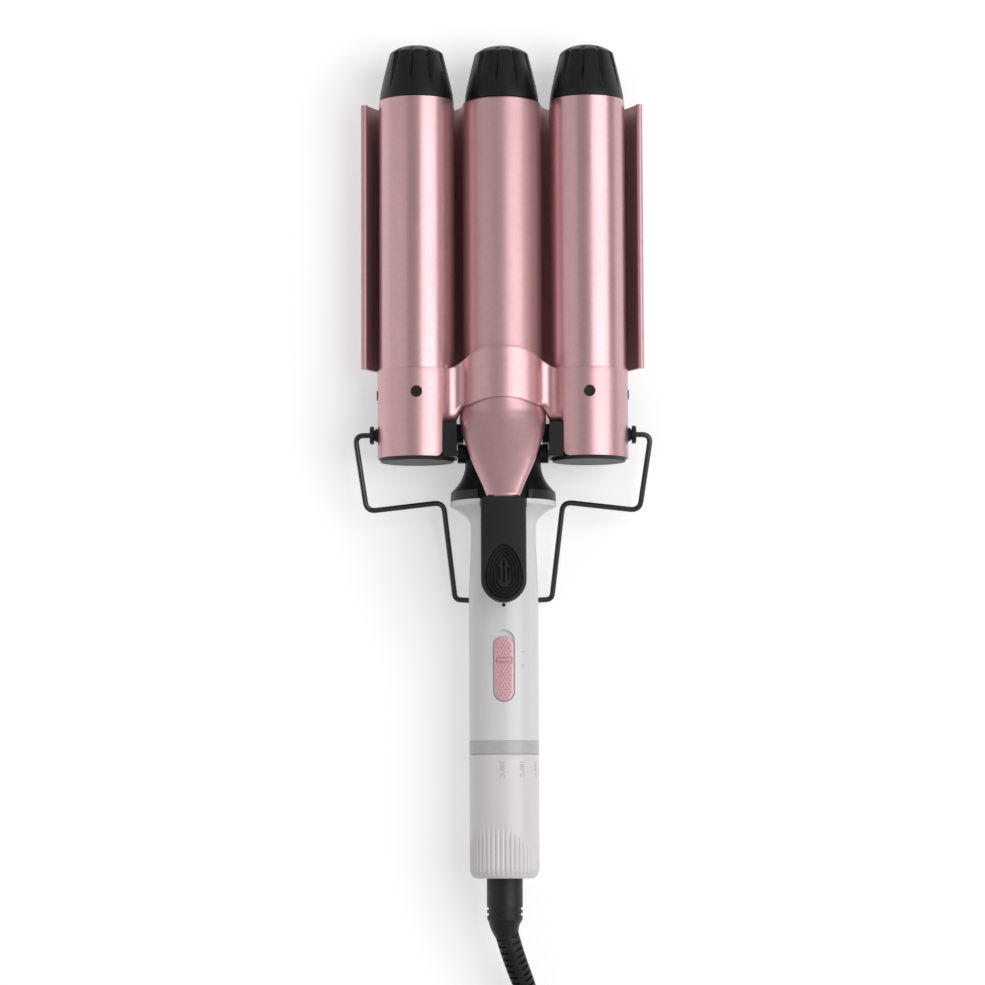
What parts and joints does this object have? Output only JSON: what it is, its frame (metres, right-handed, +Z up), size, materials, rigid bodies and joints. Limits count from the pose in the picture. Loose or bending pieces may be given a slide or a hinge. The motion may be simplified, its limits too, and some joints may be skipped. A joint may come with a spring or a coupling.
{
  "type": "hair waver",
  "caption": "Hair waver with a sprung barrel clamp over a wave plate, thumb lever, slide switch, heat dial, wire stand and swivel cord.",
  "frame": {"origin": "centre of the base of the waver's bounding box, measured without the cord; z = 0 is the table it lies on", "axes": "+Y runs from the cord end to the barrel tips, along the handle; +Z is up, on the clamp and lever side; +X is to the right seen from above with the tips away"},
  "size_m": [0.2114, 0.5115, 0.0565],
  "materials": {
    "rose_plate": "satin coating",
    "rose_barrel": "glossy coating",
    "bare_aluminium": "plain",
    "black_cap": "satin",
    "black_shell": "satin",
    "end_disc": "matt",
    "steel": "plain",
    "white_shell": "semi-gloss",
    "white_dial": "semi-gloss",
    "dark_lens": "clear over dark",
    "green_board": "varnished",
    "tan_board": "plain",
    "switch_case": "plain",
    "grey_ring": "satin",
    "lead_sleeve": "plain",
    "rose_cover": "metallic",
    "lever": "matt",
    "black_wire": "painted",
    "rose_slider": "satin",
    "cord_black": "satin",
    "tie_black": "matt",
    "plug_black": "satin",
    "brass_pins": "plated"
  },
  "bodies": {
    "handle_body": {"wave_plate": "rose_plate", "spine_tube": "bare_aluminium", "middle_tip_cap": "black_cap", "middle_heater": "bare_aluminium", "neck": "black_shell", "hinge_pin": "steel", "clamp_spring": "steel", "handle_upper_shell": "white_shell", "handle_lower_shell": "white_shell", "handle_screws": "steel", "light_lens": "dark_lens", "circuit_board": "green_board", "slide_switch": "switch_case", "heat_switch": "tan_board", "grey_ring": "grey_ring", "tail_tube": "black_shell", "supply_leads": "lead_sleeve", "heater_leads": "lead_sleeve"},
    "clamp": {"clamp_cover": "rose_cover", "left_base_shell": "black_shell", "right_base_shell": "black_shell", "left_barrel": "rose_barrel", "right_barrel": "rose_barrel", "left_tip_cap": "black_cap", "right_tip_cap": "black_cap", "left_barrel_mount": "black_shell", "right_barrel_mount": "black_shell", "left_heater": "bare_aluminium", "right_heater": "bare_aluminium", "left_barrel_leads": "lead_sleeve", "right_barrel_leads": "lead_sleeve", "left_end_disc": "end_disc", "right_end_disc": "end_disc", "cover_screws": "steel", "base_screws": "steel", "side_plugs": "black_shell", "stand_bushes": "black_shell", "thumb_lever": "lever"},
    "stand": {"wire_stand": "black_wire"},
    "switch": {"power_slider": "rose_slider"},
    "dial": {"heat_dial": "white_dial"},
    "cord": {"cord_swivel": "cord_black", "cord_relief": "cord_black", "free_cord": "cord_black", "cord_coil": "cord_black", "cord_tail": "cord_black", "cord_tie": "tie_black", "plug_body": "plug_black", "plug_pins": "brass_pins"}
  },
  "joints": [
    {"name": "clamp_hinge", "type": "hinge", "parent": "handle_body", "child": "clamp", "pos_m": [0, 0.00245, 0.0227], "axis": [1, 0, 0], "range_deg": [0, 12], "stiffness_Nm_per_rad": 0.8, "springref_deg": -20.05},
    {"name": "stand_fold", "type": "hinge", "parent": "clamp", "child": "stand", "pos_m": [0, 0.01045, 0.0227], "axis": [1, 0, 0], "range_deg": [0, 90]},
    {"name": "power_slide", "type": "slide", "parent": "handle_body", "child": "switch", "axis": [0, 1, 0], "range_m": [0, 0.0025]},
    {"name": "heat_turn", "type": "hinge", "parent": "handle_body", "child": "dial", "pos_m": [0, -0.15, 0.0227], "axis": [0, -1, 0], "range_deg": [0, 66]},
    {"name": "cord_turn", "type": "hinge", "parent": "handle_body", "child": "cord", "pos_m": [0, -0.17535, 0.0227], "axis": [0, 1, 0], "continuous": true}
  ]
}
